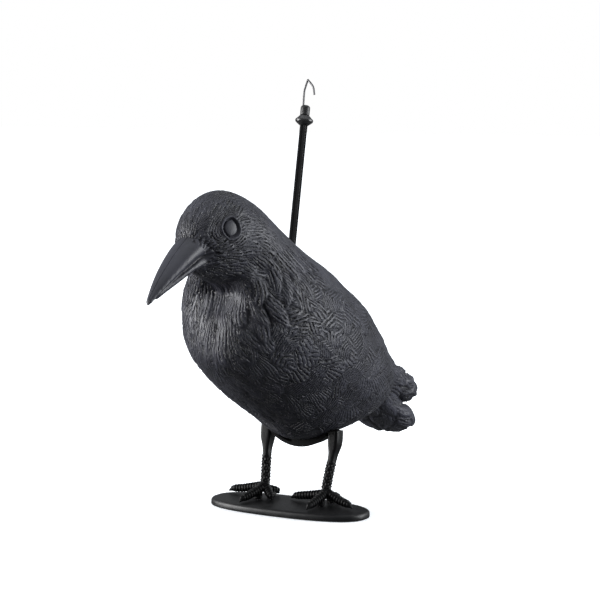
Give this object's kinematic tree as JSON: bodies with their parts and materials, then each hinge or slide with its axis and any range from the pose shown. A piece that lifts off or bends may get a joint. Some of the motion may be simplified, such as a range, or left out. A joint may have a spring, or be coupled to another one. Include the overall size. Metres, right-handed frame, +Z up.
{
  "type": "crow decoy",
  "caption": "Hollow crow decoy standing on an oval foot plate, with a lift-out hanging rod at its back and a swivelling wire hook on top.",
  "frame": {"origin": "centre of the foot plate's underside", "axes": "the bird faces -Y, its left side is +X, +Z is up from the foot plate"},
  "size_m": [0.123, 0.348, 0.3031],
  "materials": {
    "body_plastic": "matte bluish black",
    "leg_plastic": "satin black",
    "rod_plastic": "glossy black",
    "inner_plastic": "matte",
    "hook_wire": "dark coated",
    "screw_steel": "zinc plated"
  },
  "bodies": {
    "decoy": {"shell_left": "body_plastic", "shell_right": "body_plastic", "rod_guide": "inner_plastic", "cradle": "leg_plastic", "leg_left": "leg_plastic", "leg_right": "leg_plastic", "base_plate": "leg_plastic", "foot_screw_left_front": "screw_steel", "foot_screw_left_rear": "screw_steel", "foot_screw_right_front": "screw_steel", "foot_screw_right_rear": "screw_steel", "cradle_screw_left": "screw_steel", "cradle_screw_right": "screw_steel"},
    "rod": {"hanging_rod": "rod_plastic"},
    "hook": {"swivel_cap": "leg_plastic", "wire_hook": "hook_wire"}
  },
  "joints": [
    {"name": "rod_slide", "type": "slide", "parent": "decoy", "child": "rod", "axis": [0, 0.196, 0.9806], "range_m": [0, 0.08]},
    {"name": "hook_swivel", "type": "hinge", "parent": "rod", "child": "hook", "pos_m": [0, 0.0216, 0.2778], "axis": [0, 0.196, 0.9806], "continuous": true}
  ]
}
